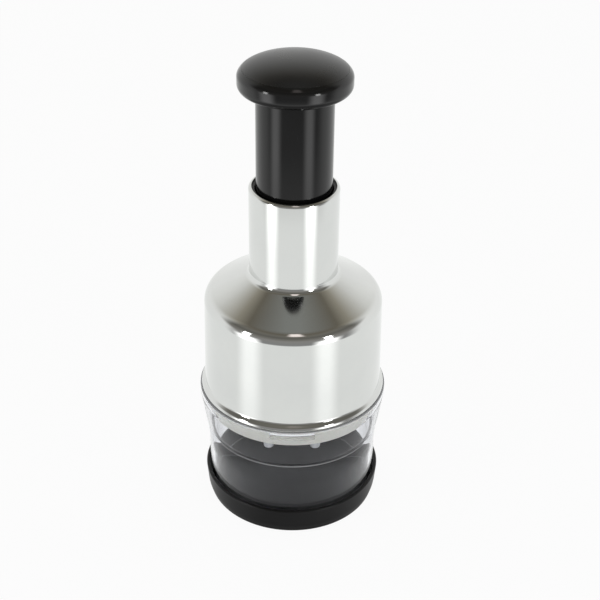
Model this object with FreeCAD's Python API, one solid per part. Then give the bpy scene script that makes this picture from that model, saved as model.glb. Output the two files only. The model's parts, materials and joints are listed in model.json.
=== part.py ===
"""Plunger food chopper: palm knob, steel shell, zigzag blades, clear cup and base cup.

All sizes are in millimetres. The origin is on the surface that the chopper stands on,
in the middle of its base, and +Z runs up the plunger's axis.
"""
import FreeCAD, Part
import math
import os
from FreeCAD import Matrix, Vector

os.makedirs("parts", exist_ok=True)

# Clearances
seat_gap = 0.3        # between pieces that rest on each other and move apart
slide_gap = 0.35      # around pieces that slide or turn past each other
cup_fit = 0.25        # around the clear cup in the base cup
clip_gap = 0.15       # around pieces that are pressed or clipped together for good
overrun = 1.0         # how far a cut runs past the faces that it opens
root_depth = 0.5      # how deep lugs and catches are rooted in the wall they stand on
bush_fit = 0.05       # around the rod's journal in its bush
spiral_fit = 0.2      # on each side of the spiral rod in the drive nut

# Travel
stroke = 42.0
turn_per_stroke = 30.0

# Bearings round the axis, in degrees from +X
front = -90.0
catch_bearing = 45.0
rib_bearing = 30.0

# Base cup
groove_floor = 3.0    # thickness under the groove that takes the cup's foot
board_step = 1.0      # height of the cutting board above the groove
base_height = 14.0
base_wall = 1.85
base_taper = 2.3      # how much narrower the base cup is at the ground
base_foot_round = 1.6
base_side_bulge = 0.65
base_side_round = 14.0
base_rim_round = 0.8

# Clear cup
chamber_radius = 38.6
chamber_wall = 2.1
waist_height = 33.7   # where the bell's slope begins outside
ledge_height = 41.0   # where the straight chamber ends inside
cup_top = 62.2
lip_height = 3.8      # height of the upright band above the bell's slope
bell_flare = 3.8      # how much wider the lip is than the chamber's wall
bell_wall = 1.6
waist_round = 60.0
bell_round = 12.0
lip_round = 0.7

# Bayonet
lug_count = 3
lug_angle = 28.0
lug_height = 1.9
collar_lug_reach = 1.2

# Collar under the steel shell
collar_drop = 7.2     # how far the collar hangs into the cup's mouth
collar_wall = 1.6
lug_space = 2.1       # left for the lugs between the collar and the cup's mouth
collar_spigot_wall = 1.45
collar_spigot_length = 11.2
collar_round = 0.4
ring_height = 1.0
ring_width = 2.3
ring_groove = 0.6     # depth of the groove that takes the snap ring
ring_opening = 14.0   # degrees left open in the snap ring
scraper_thickness = 2.5

# Steel shell
sheet = 0.8
lip_overhang = 0.6    # how far the cup's lip stands out past the hem
hem_height = 2.5      # upright edge of the hem
hem_width = 1.8       # how far the hem stands out from the body
flare_height = 1.6    # height of the flare between the body and the hem's edge
flare_round = 1.5
hem_rounding = 0.45   # rounding of the hem's raw edge, as a share of the sheet
body_taper = 0.7      # how much narrower the body is at its shoulder
shoulder_room = 4.1   # from the blades' cover up to the shoulder's lower corner
shoulder_height = 10.9
neck_height = 43.5    # from the shoulder's upper corner to the mouth
mouth_round = 1.35
mouth_edge = 0.05     # flat left at the inner edge of the mouth's curl
neck_fillet = 4.5
shoulder_round = 6.5

# Housing core
core_wall = 1.7
core_floor = 2.5
sleeve_wall = 2.05    # wall of the plunger's sleeve in the neck
guide_wall = 2.05
catch_count = 4
catch_angle = 12.0
catch_height = 2.5
catch_depth = 0.55
catch_play = 1.0      # degrees left on each side of a catch in its window
rib_count = 6
rib_thickness = 1.4
mouth_ring_height = 4.0

# Drive nut and its ratchet
nut_radius = 9.5
nut_height = 3.2
tooth_count = 12
tooth_depth = 0.7
pawl_count = 3
pawl_ring_gap = 1.2
pawl_ring_wall = 1.7
pawl_root = 0.7       # where a finger's root begins, as a share of a tooth's angle
retainer_thickness = 1.5
retainer_radius = 25.0
retainer_screw_circle = 21.5

# Spiral rod
rod_side = 7.0
rod_foot_side = 11.0
rod_foot_height = 1.5
section_turn = 12.0   # degrees between the sections that the twisted bar is drawn through
journal_radius = 3.0
circlip_groove = 0.4
washer_thickness = 0.8
washer_radius = 6.6
circlip_radius = 5.6
circlip_opening = 60.0

# Blades and their carrier
blade_gap = 2.6       # between the blades and the chamber's wall
blade_thickness = 0.8
blade_limbs = 6
blade_spread = 0.9    # place of the strip's ends, as a share of the blades' reach
fold_radius = 2.2
bevel_height = 2.4
edge_thickness = 0.12
floor_gap = 0.4       # left between the edges and the cutting board at full stroke
scraper_gap = 0.5     # left between the carrier and the scraper at full stroke
carrier_thickness = 3.0
cover_thickness = 2.0
carrier_margin = 1.2  # how far the carrier reaches past the blades
cover_margin = 3.2    # how much narrower the cover is than the carrier
tab_width = 9.0
tab_place = 0.3       # how far along its limb each tab stands
carrier_screw_spread = 0.43  # place of the carrier's screws, as a share of the blades' reach
pin_radius = 0.6
pin_length = 3.6
blade_slot_gap = 0.45

# Return spring
spring_wire = 1.6
spring_radius = 11.5
spring_turns = 8
closed_turns = 1
closed_pitch = 2.15
spring_seat_thickness = 1.0
spring_seat_width = 5.0

# Plunger
shaft_radius = 17.1
shaft_wall = 1.9
shaft_plug = 5.5
bush_wall = 2.6
guide_gap = 1.0       # left between the guide tube and the upper spring seat at full stroke
knob_play = 2.2       # left between the knob and the neck at full stroke
knob_overhang = 8.07  # how much wider the knob is than the shaft
knob_rise = 9.9       # from the knob's underside to its widest edge
knob_floor = 3.0
knob_edge_round = 2.6
knob_lower_round = 4.5
knob_lower_lip = 0.9  # how far the knob's underside stands out from the shaft and rises
knob_draft = 0.25
knob_rim = 2.37       # width of the knob's rim round the cap
cap_rise = 1.3        # from the knob's widest edge to the cap's edge
dome_rise = 4.5       # from the cap's edge to its middle
cap_wall = 2.0
cap_rim_height = 1.0
cap_spigot = 2.0
cap_spigot_wall = 1.6
knob_screw_circle = 12.0
knob_hole_radius = 8.0

# Screws
screw_shank = 1.25
screw_head = 2.5
screw_head_height = 1.4
screw_socket = 1.1
socket_depth = 0.85
screw_grip = 0.8      # share of the last piece's thickness that a screw goes into
screw_count = 3

# Heights that follow from the stack of pieces
board_top = groove_floor + board_step
cup_foot = groove_floor + seat_gap
bell_height = cup_top - lip_height
collar_foot = cup_top - collar_drop
hem_foot = cup_top + seat_gap
hem_top = hem_foot + hem_height
catch_foot = hem_top + collar_spigot_length / 2
spigot_top = hem_top + collar_spigot_length
ring_foot = collar_foot + ring_height
scraper_foot = ring_foot + ring_height + seat_gap
scraper_top = scraper_foot + scraper_thickness
edge_height = board_top + floor_gap + stroke
carrier_foot = scraper_top + scraper_gap + stroke
carrier_top = carrier_foot + carrier_thickness
cover_top = carrier_top + cover_thickness
retainer_foot = cover_top + 2 * slide_gap
floor_foot = retainer_foot + retainer_thickness
floor_top = floor_foot + core_floor
nut_foot = floor_foot + clip_gap
boss_top = floor_foot + nut_height + 2 * clip_gap + core_floor
shaft_foot = floor_top + seat_gap + stroke
shoulder_foot = cover_top + shoulder_room
neck_foot = shoulder_foot + shoulder_height
neck_top = neck_foot + neck_height
knob_seat = neck_top + stroke + knob_play
knob_edge_height = knob_seat + knob_rise
cap_edge_height = knob_edge_height + cap_rise
knob_top = cap_edge_height + dome_rise
plug_foot = knob_seat - shaft_plug
upper_seat_foot = plug_foot - spring_seat_thickness
guide_top = upper_seat_foot - stroke - guide_gap
rod_shoulder = plug_foot - washer_thickness - seat_gap
circlip_foot = knob_seat + seat_gap + washer_thickness + bush_fit
rod_top = circlip_foot + 2 * washer_thickness
cap_rim_foot = cap_edge_height - cap_rim_height
retainer_screw_length = retainer_thickness + core_floor * screw_grip
carrier_screw_length = cover_thickness + carrier_thickness * screw_grip
knob_screw_length = knob_floor + shaft_plug * screw_grip

# Radii that follow from the fits
cup_radius = chamber_radius + chamber_wall
base_bore = cup_radius + cup_fit
base_radius = base_bore + base_wall
board_radius = chamber_radius - slide_gap
lip_radius = cup_radius + bell_flare
collar_radius = lip_radius - bell_wall - lug_space
collar_bore = collar_radius - collar_wall
hem_radius = lip_radius - lip_overhang
hem_round = sheet * hem_rounding
body_radius_foot = hem_radius - hem_width
body_radius_top = body_radius_foot - body_taper
scraper_radius = collar_bore - slide_gap
ring_groove_radius = collar_bore + ring_groove
shaft_bore = shaft_radius - shaft_wall
sleeve_bore = shaft_radius + slide_gap
neck_radius = sleeve_bore + sleeve_wall + clip_gap + sheet
mouth_radius = neck_radius - mouth_round - mouth_edge
knob_radius = shaft_radius + knob_overhang
cap_radius = knob_radius - knob_rim
guide_bore = rod_side / math.sqrt(2) + slide_gap
guide_radius = guide_bore + guide_wall
pawl_ring_bore = nut_radius + pawl_ring_gap
pawl_ring_radius = pawl_ring_bore + pawl_ring_wall
boss_radius = pawl_ring_radius + clip_gap + core_wall
blade_reach = chamber_radius - blade_gap
blade_pitch = 2 * blade_spread * (blade_reach - blade_thickness / 2) / blade_limbs
carrier_screw_circle = carrier_screw_spread * blade_reach
carrier_radius = blade_reach + carrier_margin
spigot_bore = carrier_radius + 2 * slide_gap
spigot_radius = spigot_bore + collar_spigot_wall
bush_bore = journal_radius + bush_fit
bush_radius = bush_bore + bush_wall

shoulder_slope = math.atan2(neck_foot - shoulder_foot, body_radius_top - neck_radius)
flare_slope = math.atan2(flare_height, hem_width)
bell_slope = (lip_radius - cup_radius) / (bell_height - waist_height)
twist_rate = turn_per_stroke / stroke


def corner_arc(before, corner, after, radius):
    """Start, middle and end of the arc that rounds a corner with a radius."""
    incoming = (before - corner).normalize()
    outgoing = (after - corner).normalize()
    half_angle = incoming.getAngle(outgoing) / 2
    reach = radius / math.tan(half_angle)
    middle_way = (incoming + outgoing).normalize()
    centre = corner + middle_way * (radius / math.sin(half_angle))
    start = corner + incoming * reach
    end = corner + outgoing * reach
    return start, centre - middle_way * radius, end


def rounded_wire(corners):
    """Closed wire through (point, rounding) corners, sharp where the rounding is zero."""
    pieces = []
    for index, (point, rounding) in enumerate(corners):
        before = corners[index - 1][0]
        after = corners[(index + 1) % len(corners)][0]
        if rounding > 0:
            start, middle, end = corner_arc(before, point, after, rounding)
            pieces.append((start, end, [Part.Arc(start, middle, end).toShape()]))
        else:
            pieces.append((point, point, []))
    edges = []
    for index, (_, end, arc) in enumerate(pieces):
        following = pieces[(index + 1) % len(pieces)][0]
        edges += arc
        if end.distanceToPoint(following) > 1e-6:
            edges.append(Part.LineSegment(end, following).toShape())
    return Part.Wire(edges)


def turned(corners, start_angle=0.0, sweep=360.0):
    """Solid of revolution from (radius, height) or (radius, height, rounding) corners."""
    outline = []
    for radius, height, *rounding in corners:
        outline.append((Vector(radius, 0, height), rounding[0] if rounding else 0.0))
    face = Part.Face(rounded_wire(outline))
    axis = Vector(0, 0, 1)
    face.rotate(Vector(), axis, start_angle)
    return face.revolve(Vector(), axis, sweep)


def ring(inner, outer, foot, height):
    """Plain ring with a rectangular section."""
    return turned([(inner, foot), (outer, foot), (outer, foot + height), (inner, foot + height)])


def disc(radius, foot, height):
    return Part.makeCylinder(radius, height, Vector(0, 0, foot))


def polar(radius, degrees):
    angle = math.radians(degrees)
    return radius * math.cos(angle), radius * math.sin(angle)


def around(shape, count, first=0.0):
    """Copies of a shape, evenly spaced round the axis."""
    copies = []
    for index in range(count):
        copy = shape.copy()
        copy.rotate(Vector(), Vector(0, 0, 1), first + 360.0 * index / count)
        copies.append(copy)
    return copies


def moved(shape, x, y, z=0.0):
    copy = shape.copy()
    copy.translate(Vector(x, y, z))
    return copy


def screw(top, length):
    """Flat-headed screw that points down, with a hexagonal socket."""
    body = turned([
        (0, top), (screw_head, top), (screw_shank, top - screw_head_height),
        (screw_shank, top - length + screw_shank), (0, top - length),
    ])
    hexagon = [Vector(*polar(screw_socket, 60 * index), top) for index in range(7)]
    socket = Part.Face(Part.makePolygon(hexagon)).extrude(Vector(0, 0, -socket_depth))
    return body.cut(socket)


def screw_hole(top, length):
    """Countersunk hole for the screw, with its clearance."""
    reach = screw_shank + clip_gap
    mouth = screw_head + clip_gap
    return turned([
        (0, top), (mouth, top), (reach, top - screw_head_height), (reach, top - length - seat_gap),
        (0, top - length - seat_gap),
    ])


def write(name, solids):
    shape = solids[0] if len(solids) == 1 else Part.makeCompound(solids)
    shape.exportStep("parts/" + name + ".step")


# Base cup and clear cup

def make_base_cup():
    """Shallow dish with a groove for the cup's foot round its cutting board."""
    outer_foot = base_radius - base_taper
    side_height = base_height / 3
    side_radius = outer_foot + base_taper * side_height / base_height + base_side_bulge
    return turned([
        (0, 0), (outer_foot, 0, base_foot_round), (side_radius, side_height, base_side_round),
        (base_radius, base_height, base_rim_round),
        (base_bore, base_height, base_rim_round / 2), (base_bore, groove_floor),
        (board_radius, groove_floor), (board_radius, board_top, board_step / 3), (0, board_top),
    ])


def bell_bore(height):
    """Inner radius of the bell's sloping part at a height."""
    outer = cup_radius + bell_slope * (height - waist_height)
    return outer - bell_wall * math.hypot(1, bell_slope)


def make_clear_cup():
    """Clear sleeve: straight chamber, ledge, flared bell and the bayonet lugs in its mouth."""
    sleeve = turned([
        (chamber_radius, cup_foot), (cup_radius, cup_foot, lip_round),
        (cup_radius, waist_height, waist_round), (lip_radius, bell_height, bell_round),
        (lip_radius, cup_top, lip_round), (lip_radius - bell_wall, cup_top, lip_round),
        (lip_radius - bell_wall, bell_height, bell_round), (bell_bore(ledge_height), ledge_height),
        (chamber_radius, ledge_height, lip_round),
    ])
    lug_foot = collar_foot + seat_gap + lug_height + seat_gap
    lug = turned([
        (collar_radius + slide_gap, lug_foot), (bell_bore(lug_foot) + bell_wall / 2, lug_foot),
        (lip_radius - bell_wall / 2, lug_foot + lug_height),
        (collar_radius + slide_gap, lug_foot + lug_height),
    ], -lug_angle / 2, lug_angle)
    return sleeve.fuse(around(lug, lug_count, front)).removeSplitter()


# Housing: collar, scraper's ring, shell, core and the ring in the neck

def make_collar():
    """Cream ring below the shell: scraper seat, bayonet lugs, hem flange and spigot."""
    groove_foot = ring_foot - clip_gap
    groove_top = ring_foot + ring_height + clip_gap
    flange_foot = hem_foot + seat_gap
    flange_top = flange_height()
    flange_radius = hem_radius - sheet - clip_gap
    body = turned([
        (collar_bore, collar_foot), (collar_radius, collar_foot, collar_round),
        (collar_radius, flange_foot), (flange_radius, flange_foot), (flange_radius, flange_top),
        (spigot_radius, flange_top), (spigot_radius, spigot_top),
        (spigot_bore, spigot_top), (spigot_bore, scraper_top + seat_gap),
        (collar_bore, scraper_top + seat_gap), (collar_bore, groove_top),
        (ring_groove_radius, groove_top), (ring_groove_radius, groove_foot),
        (collar_bore, groove_foot),
    ])
    lug_foot = collar_foot + seat_gap
    lug = turned([
        (collar_radius - root_depth, lug_foot), (collar_radius + collar_lug_reach, lug_foot),
        (collar_radius + collar_lug_reach, lug_foot + lug_height),
        (collar_radius - root_depth, lug_foot + lug_height),
    ], -lug_angle / 2, lug_angle)
    catch = turned([
        (spigot_radius - root_depth, catch_foot), (spigot_radius, catch_foot),
        (spigot_radius + catch_depth, catch_foot), (spigot_radius, catch_foot + catch_height),
        (spigot_radius - root_depth, catch_foot + catch_height),
    ], -catch_angle / 2, catch_angle)
    body = body.fuse(around(lug, lug_count, front) + around(catch, catch_count, catch_bearing))
    return body.removeSplitter()


def make_snap_ring():
    """Open spring ring that holds the scraper in the collar."""
    outer = ring_groove_radius - clip_gap
    inner = outer - ring_width
    ring_top = ring_foot + ring_height
    return turned([
        (inner, ring_foot), (outer, ring_foot), (outer, ring_top), (inner, ring_top),
    ], ring_opening / 2 - front, 360 - ring_opening)


def corner_drop(inset, slope):
    """How much lower a surface that lies inside another turns from upright to sloping."""
    return inset * (1 - math.sin(slope)) / math.cos(slope)


def shell_corners(inset):
    """Neck, shoulder and body corners of a surface that lies inside the shell's outer face."""
    drop = corner_drop(inset, shoulder_slope)
    return [
        (neck_radius - inset, neck_foot - drop, neck_fillet + inset),
        (body_radius_top - inset, shoulder_foot - drop, shoulder_round - inset),
    ]


def cone_height(inset, radius):
    """Height of that surface's sloping shoulder at a radius."""
    rise = (neck_radius - radius) * math.tan(shoulder_slope)
    return neck_foot + rise - inset / math.cos(shoulder_slope)


def flare_corners(inset):
    """Body and hem corners of the flare on a surface that lies inside the shell's outer face."""
    drop = corner_drop(inset, flare_slope)
    return [
        (body_radius_foot - inset, hem_top + flare_height - drop, flare_round + inset),
        (hem_radius - inset, hem_top - drop, flare_round - inset),
    ]


def flange_height():
    """Top of the collar's flange, just under the hem's corner."""
    return flare_corners(sheet + clip_gap)[1][1]


def make_steel_shell():
    """Drawn sheet: curled mouth, neck, shoulder, body, flared foot and raw hem."""
    outer = shell_corners(0.0) + flare_corners(0.0)
    inner = shell_corners(sheet) + flare_corners(sheet)
    inner.reverse()
    return turned([
        (mouth_radius, neck_top), (neck_radius, neck_top, mouth_round), *outer,
        (hem_radius, hem_foot, hem_round), (hem_radius - sheet, hem_foot, hem_round), *inner,
        (neck_radius - sheet, neck_top - sheet, mouth_round - sheet),
        (mouth_radius, neck_top - sheet),
    ])


def make_housing_core():
    """Liner of the shell with the plunger's sleeve, spring floor, ribs and guide tube."""
    outer_inset = sheet + clip_gap
    inner_inset = outer_inset + core_wall
    outer = shell_corners(outer_inset)
    inner_body = shell_corners(inner_inset)[1]
    sleeve_top = neck_top - sheet - mouth_ring_height - 2 * clip_gap
    skirt_foot = flange_height() + clip_gap
    skirt_bore = spigot_radius + clip_gap
    skirt = turned([
        (sleeve_bore, sleeve_top), (neck_radius - outer_inset, sleeve_top), *outer,
        (body_radius_foot - outer_inset, skirt_foot), (skirt_bore, skirt_foot),
        (skirt_bore, spigot_top + core_wall), inner_body,
        (sleeve_bore, cone_height(inner_inset, sleeve_bore)),
    ])
    floor_radius = neck_radius + (neck_foot - floor_top) / math.tan(shoulder_slope)
    floor_radius -= (outer_inset + core_wall / 2) / math.sin(shoulder_slope)
    middle = turned([
        (guide_bore, floor_foot), (floor_radius, floor_foot), (floor_radius, floor_top),
        (boss_radius, floor_top), (boss_radius, boss_top),
        (guide_radius, boss_top), (guide_radius, guide_top, guide_wall / 3), (guide_bore, guide_top),
    ])
    rib_inner = sleeve_bore + slide_gap
    rib = turned([
        (rib_inner, floor_foot + core_floor / 2), (floor_radius, floor_foot + core_floor / 2),
        (floor_radius, cone_height(inner_inset - core_wall / 2, floor_radius)),
        (rib_inner, cone_height(inner_inset - core_wall / 2, rib_inner)),
    ], 0.0, math.degrees(rib_thickness / floor_radius))
    core = skirt.fuse([middle] + around(rib, rib_count, rib_bearing))
    pocket_height = nut_height + 2 * clip_gap
    pocket = disc(pawl_ring_radius + clip_gap, floor_foot - overrun, pocket_height + overrun)
    window_foot = catch_foot - clip_gap
    window_top = catch_foot + catch_height + clip_gap
    window = turned([
        (skirt_bore - overrun, window_foot), (body_radius_foot, window_foot),
        (body_radius_foot, window_top), (skirt_bore - overrun, window_top),
    ], -catch_angle / 2 - catch_play, catch_angle + 2 * catch_play)
    cuts = [pocket] + around(window, catch_count, catch_bearing) + retainer_holes()
    return core.cut(cuts).removeSplitter()


def retainer_holes():
    """Holes for the retainer's screws, which point up from its lower face."""
    hole = moved(screw_hole(retainer_foot, retainer_screw_length), retainer_screw_circle, 0)
    return around(upturned(hole, retainer_foot), screw_count)


def upturned(shape, height):
    """The shape turned upside down about a height, so that a screw points up."""
    turn = Matrix(1, 0, 0, 0, 0, -1, 0, 0, 0, 0, -1, 2 * height, 0, 0, 0, 1)
    return shape.transformed(turn)


def make_mouth_ring():
    """Black guide ring in the shell's mouth."""
    outer = neck_radius - sheet - clip_gap
    foot = neck_top - sheet - mouth_ring_height - clip_gap
    top = foot + mouth_ring_height
    return turned([
        (sleeve_bore, foot), (outer, foot), (outer, top, mouth_round / 2),
        (sleeve_bore, top, mouth_round / 3),
    ])


# Ratchet and drive nut

def flat_shape(points, foot, height):
    """Prism on a closed outline of (x, y) points."""
    corners = [Vector(x, y, foot) for x, y in points]
    corners.append(corners[0])
    return Part.Face(Part.makePolygon(corners)).extrude(Vector(0, 0, height))


def square(side, height, degrees):
    """Square wire centred on the axis."""
    corner = side / math.sqrt(2)
    points = [Vector(*polar(corner, degrees + 45 + 90 * index), height) for index in range(5)]
    return Part.makePolygon(points)


def twist_at(height):
    """Turn of the spiral rod's section at a height, in degrees, from the nut's section."""
    return -twist_rate * (height - nut_foot)


def spiral_prism(side, foot, top):
    """Square bar whose section turns steadily with height."""
    steps = math.ceil(abs(twist_rate) * (top - foot) / section_turn)
    sections = []
    for index in range(steps + 1):
        height = foot + (top - foot) * index / steps
        sections.append(square(side, height, twist_at(height)))
    return Part.makeLoft(sections, True, False)


def make_drive_nut():
    """Nut with a spiral bore inside and saw teeth outside."""
    step = 360.0 / tooth_count
    outline = []
    for index in range(tooth_count):
        outline.append(polar(nut_radius - tooth_depth, step * index))
        outline.append(polar(nut_radius, step * (index + 1)))
    body = flat_shape(outline, nut_foot, nut_height)
    bore_side = rod_side + 2 * spiral_fit
    bore = spiral_prism(bore_side, nut_foot - overrun, nut_foot + nut_height + overrun)
    return body.cut(bore)


def make_pawl_ring():
    """Ring with springy fingers that let the nut slip back one way only."""
    outer_ring = ring(pawl_ring_bore, pawl_ring_radius, nut_foot, nut_height)
    tooth_angle = 360.0 / tooth_count
    tip_angle = math.degrees(clip_gap / nut_radius)
    valley = nut_radius - tooth_depth + clip_gap
    rooted = pawl_ring_bore + pawl_ring_wall / 2
    finger = flat_shape([
        polar(valley, tip_angle), polar(nut_radius + clip_gap, tooth_angle),
        polar(rooted, tooth_angle), polar(rooted, tooth_angle * pawl_root),
        polar(nut_radius, tip_angle),
    ], nut_foot, nut_height)
    return outer_ring.fuse(around(finger, pawl_count)).removeSplitter()


def make_nut_retainer():
    """Plate that closes the nut's pocket from below."""
    plate = ring(guide_bore, retainer_radius, retainer_foot, retainer_thickness)
    return plate.cut(retainer_holes())


def make_retainer_screws():
    one = moved(screw(retainer_foot, retainer_screw_length), retainer_screw_circle, 0)
    return around(upturned(one, retainer_foot), screw_count)


# Blade unit

def blade_stations():
    """Free ends and folds of the strip in plan, from left to right, as (centre, radius, side)."""
    stations = []
    for index in range(blade_limbs + 1):
        side = 1 if index % 2 else -1
        x = (index - blade_limbs / 2) * blade_pitch
        radius = fold_radius if 0 < index < blade_limbs else 0.0
        circle = blade_reach - blade_thickness / 2 - radius
        stations.append((Vector(x, side * math.sqrt(circle ** 2 - x ** 2), 0), radius, side))
    return stations


def blade_limbs_in_plan():
    """Ends of each straight limb, which is tangent to the folds at both of its ends."""
    stations = blade_stations()
    limbs = []
    for first, second in zip(stations[:-1], stations[1:]):
        start, start_radius, side = first
        end, end_radius, _ = second
        span = end - start
        lean = math.asin((start_radius + end_radius) / span.Length)
        heading = math.atan2(span.y, span.x) - side * lean
        normal = Vector(-math.sin(heading), math.cos(heading), 0) * side
        limbs.append((start + normal * start_radius, end - normal * end_radius))
    return limbs


def strip_outline(half_width, height):
    """Closed outline at an even distance round the strip's middle line."""
    limbs = blade_limbs_in_plan()
    stations = blade_stations()
    edges = []
    for index, (start, end) in enumerate(limbs):
        edges.append(Part.LineSegment(start, end).toShape())
        if index + 1 < len(limbs):
            centre, radius, side = stations[index + 1]
            middle = centre + Vector(0, side * radius, 0)
            edges.append(Part.Arc(end, middle, limbs[index + 1][0]).toShape())
    outline = Part.Wire(edges).makeOffset2D(half_width, 0, False, False)
    outline.translate(Vector(0, 0, height))
    return outline


def at_tabs(make_one):
    """One shape for each limb, made at the origin along X and put at the limb's tab."""
    shapes = []
    for start, end in blade_limbs_in_plan():
        place = start + (end - start) * tab_place
        shape = make_one()
        angle = math.degrees(math.atan2(end.y - start.y, end.x - start.x))
        shape.rotate(Vector(), Vector(0, 0, 1), angle)
        shapes.append(moved(shape, place.x, place.y))
    return shapes


def centred_box(length, width, foot, top):
    return Part.makeBox(length, width, top - foot, Vector(-length / 2, -width / 2, foot))


def cross_pin(radius, length):
    """Pin across a tab, just below the carrier's top face."""
    height = carrier_top - pin_radius - clip_gap
    return Part.makeCylinder(radius, length, Vector(0, -length / 2, height), Vector(0, 1, 0))


def make_zigzag_blade():
    """Folded strip with a ground edge below and a tab on each limb above."""
    bevel_top = edge_height + bevel_height
    edge = Part.makeLoft([
        strip_outline(edge_thickness / 2, edge_height), strip_outline(blade_thickness / 2, bevel_top),
    ], True, True)
    strip = Part.Face(strip_outline(blade_thickness / 2, bevel_top))
    strip = strip.extrude(Vector(0, 0, carrier_foot - bevel_top))
    tabs = at_tabs(lambda: centred_box(tab_width, blade_thickness, carrier_foot, carrier_top))
    holes = at_tabs(lambda: cross_pin(pin_radius + bush_fit, pin_length))
    return strip.fuse([edge] + tabs).removeSplitter().cut(holes)


def make_blade_pins():
    return at_tabs(lambda: cross_pin(pin_radius, pin_length))


def tab_slots():
    """Slots for the tabs and grooves for their pins."""
    length = tab_width + 2 * clip_gap
    width = blade_thickness + 2 * clip_gap
    above = carrier_top + overrun
    slots = at_tabs(lambda: centred_box(length, width, carrier_foot - overrun, above))
    groove_width = 2 * (pin_radius + clip_gap)
    groove_length = pin_length + 2 * clip_gap
    groove_foot = carrier_top - groove_width
    grooves = at_tabs(lambda: centred_box(groove_width, groove_length, groove_foot, above))
    return slots + grooves


def carrier_screw_holes():
    hole = moved(screw_hole(cover_top, carrier_screw_length), carrier_screw_circle, 0)
    return around(hole, screw_count, front)


def rod_foot(side, foot, top):
    """Square foot of the rod, which the carrier holds against turning."""
    outline = square(side, foot, twist_at(carrier_top))
    return Part.Face(outline).extrude(Vector(0, 0, top - foot))


def make_blade_carrier():
    """Lower half of the blades' holder."""
    body = turned([
        (0, carrier_foot), (carrier_radius, carrier_foot, carrier_margin),
        (carrier_radius, carrier_top), (0, carrier_top),
    ])
    recess_foot = carrier_top - rod_foot_height - clip_gap
    recess = rod_foot(rod_foot_side + 2 * clip_gap, recess_foot, carrier_top + overrun)
    return body.cut([recess] + tab_slots() + carrier_screw_holes())


def make_carrier_cover():
    """Upper half, which shuts in the tabs, their pins and the rod's foot."""
    radius = carrier_radius - cover_margin
    body = turned([
        (0, carrier_top), (radius, carrier_top), (radius, cover_top, cover_thickness / 3),
        (0, cover_top),
    ])
    bore_side = rod_side + 2 * spiral_fit
    bore = spiral_prism(bore_side, carrier_top - overrun, cover_top + overrun)
    return body.cut([bore] + carrier_screw_holes())


def make_carrier_screws():
    one = moved(screw(cover_top, carrier_screw_length), carrier_screw_circle, 0)
    return around(one, screw_count, front)


def make_spiral_rod():
    """Square rod with a steady twist, a square foot and a grooved journal."""
    foot = rod_foot(rod_foot_side, carrier_top - rod_foot_height, carrier_top)
    bar = spiral_prism(rod_side, carrier_top, rod_shoulder)
    neck = journal_radius - circlip_groove
    journal = turned([
        (0, rod_shoulder), (journal_radius, rod_shoulder), (journal_radius, circlip_foot),
        (neck, circlip_foot), (neck, circlip_foot + washer_thickness),
        (journal_radius, circlip_foot + washer_thickness),
        (journal_radius, rod_top, circlip_groove), (0, rod_top),
    ])
    return foot.fuse([bar, journal])


def make_rod_washers():
    """Washers below and above the bush."""
    inner = journal_radius + bush_fit
    return [
        ring(inner, washer_radius, rod_shoulder, washer_thickness),
        ring(inner, washer_radius, knob_seat + seat_gap, washer_thickness),
    ]


def make_rod_circlip():
    """Open clip in the rod's groove."""
    inner = journal_radius - circlip_groove + bush_fit
    foot = circlip_foot + bush_fit
    height = washer_thickness - 2 * bush_fit
    top = foot + height
    return turned([
        (inner, foot), (circlip_radius, foot), (circlip_radius, top), (inner, top),
    ], circlip_opening / 2, 360.0 - circlip_opening)


def make_scraper():
    """Disc with a zigzag slot that wipes the strip."""
    body = turned([
        (0, scraper_foot), (scraper_radius, scraper_foot, seat_gap),
        (scraper_radius, scraper_top, seat_gap), (0, scraper_top),
    ])
    slot_half_width = blade_thickness / 2 + blade_slot_gap
    slot = Part.Face(strip_outline(slot_half_width, scraper_foot - overrun))
    return body.cut(slot.extrude(Vector(0, 0, scraper_thickness + 2 * overrun)))


# Return spring

def spring_height(turn):
    """Height of the wire's middle after a number of turns, with closed turns at both ends."""
    low = boss_top + spring_seat_thickness + spring_wire / 2
    high = upper_seat_foot - spring_wire / 2
    closed_rise = closed_turns * closed_pitch
    active_turns = spring_turns - 2 * closed_turns
    if turn <= closed_turns:
        return low + turn * closed_pitch
    if turn >= spring_turns - closed_turns:
        return high - (spring_turns - turn) * closed_pitch
    share = (turn - closed_turns) / active_turns
    return low + closed_rise + share * (high - low - 2 * closed_rise)


def spring_point(turn):
    return Vector(*polar(spring_radius, 360.0 * turn), spring_height(turn))


def spring_heading(turn):
    """Direction of the wire, from its rise on both sides of a point."""
    step = 0.25
    rise = (spring_height(turn + step) - spring_height(turn - step)) / (2 * step)
    if turn <= 0 or turn >= spring_turns:
        rise = closed_pitch
    along = 2 * math.pi * spring_radius
    x, y = polar(along, 360.0 * turn + 90.0)
    return Vector(x, y, rise).normalize()


def tangent_arc(start, corner, end):
    """Arc from start to end that is tangent to the lines to the corner between them."""
    middle = (start + end) * 0.5
    half_chord = (end - start).Length / 2
    rise = (corner - middle).Length
    radius = half_chord * math.hypot(half_chord, rise) / rise
    bulge = radius - half_chord ** 2 / rise
    top = middle + (corner - middle) * (bulge / rise)
    return Part.Arc(start, top, end)


def biarc(start, start_heading, end, end_heading):
    """Two arcs that join two points and their headings without a kink."""
    span = end - start
    headings = start_heading + end_heading
    turning = 1 - start_heading.dot(end_heading)
    reach = span.dot(headings)
    reach = (math.sqrt(reach ** 2 + 2 * turning * span.dot(span)) - reach) / (2 * turning)
    first_corner = start + start_heading * reach
    second_corner = end - end_heading * reach
    joint = (first_corner + second_corner) * 0.5
    return [tangent_arc(start, first_corner, joint), tangent_arc(joint, second_corner, end)]


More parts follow.
